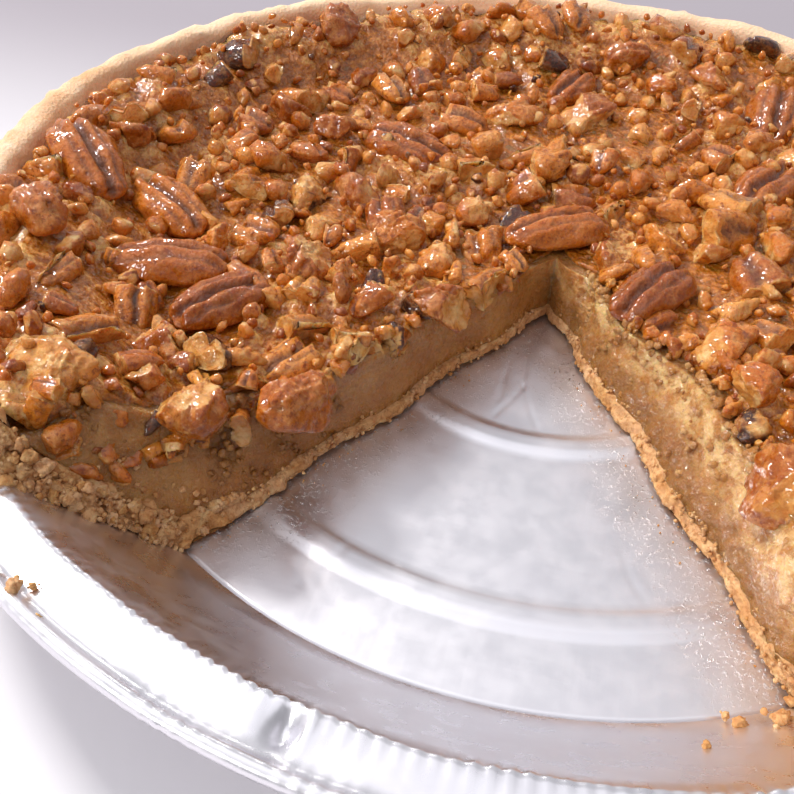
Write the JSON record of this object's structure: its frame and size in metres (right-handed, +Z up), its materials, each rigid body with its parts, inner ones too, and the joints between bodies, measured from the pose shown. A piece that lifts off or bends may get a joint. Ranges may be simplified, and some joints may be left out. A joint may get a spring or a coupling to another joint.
{
  "type": "pecan pie",
  "caption": "Round pecan pie in a shallow pressed foil dish, with one wedge-shaped slice taken out: pastry shell, set filling and a thick topping of baked pecans.",
  "frame": {"origin": "centre of the dish, on the surface that it stands on", "axes": "+Z up, -Y through the middle of the missing slice"},
  "size_m": [0.2428, 0.2428, 0.0343],
  "materials": {
    "foil": "bright pressed foil, satin on the base",
    "crust": "pale baked shortcrust, crumbly and dry",
    "filling": "translucent set syrup custard, moist where it is cut",
    "nut_topping": "chopped pecans baked in syrup, glossy in places",
    "pecan": "toasted pecan with a thin syrup glaze"
  },
  "bodies": {
    "root": {"crust": "crust", "filling": "filling", "foil_dish": "foil", "nut_topping": "nut_topping", "pecan_01": "pecan", "pecan_02": "pecan", "pecan_03": "pecan", "pecan_04": "pecan", "pecan_05": "pecan", "pecan_06": "pecan", "pecan_07": "pecan", "pecan_08": "pecan", "pecan_09": "pecan", "pecan_10": "pecan", "pecan_11": "pecan", "pecan_12": "pecan", "pecan_13": "pecan", "pecan_14": "pecan", "pecan_15": "pecan", "pecan_16": "pecan", "pecan_17": "pecan", "pecan_18": "pecan", "pecan_19": "pecan", "pecan_20": "pecan", "pecan_21": "pecan", "pecan_22": "pecan", "pecan_23": "pecan", "pecan_24": "pecan", "pecan_25": "pecan", "pecan_26": "pecan", "pecan_27": "pecan", "pecan_28": "pecan", "pecan_29": "pecan", "pecan_30": "pecan", "pecan_31": "pecan", "pecan_32": "pecan", "pecan_33": "pecan", "pecan_34": "pecan", "pecan_35": "pecan", "pecan_36": "pecan", "pecan_37": "pecan", "pecan_38": "pecan", "pecan_39": "pecan", "pecan_40": "pecan", "pecan_41": "pecan", "pecan_42": "pecan", "pecan_43": "pecan"}
  },
  "joints": []
}
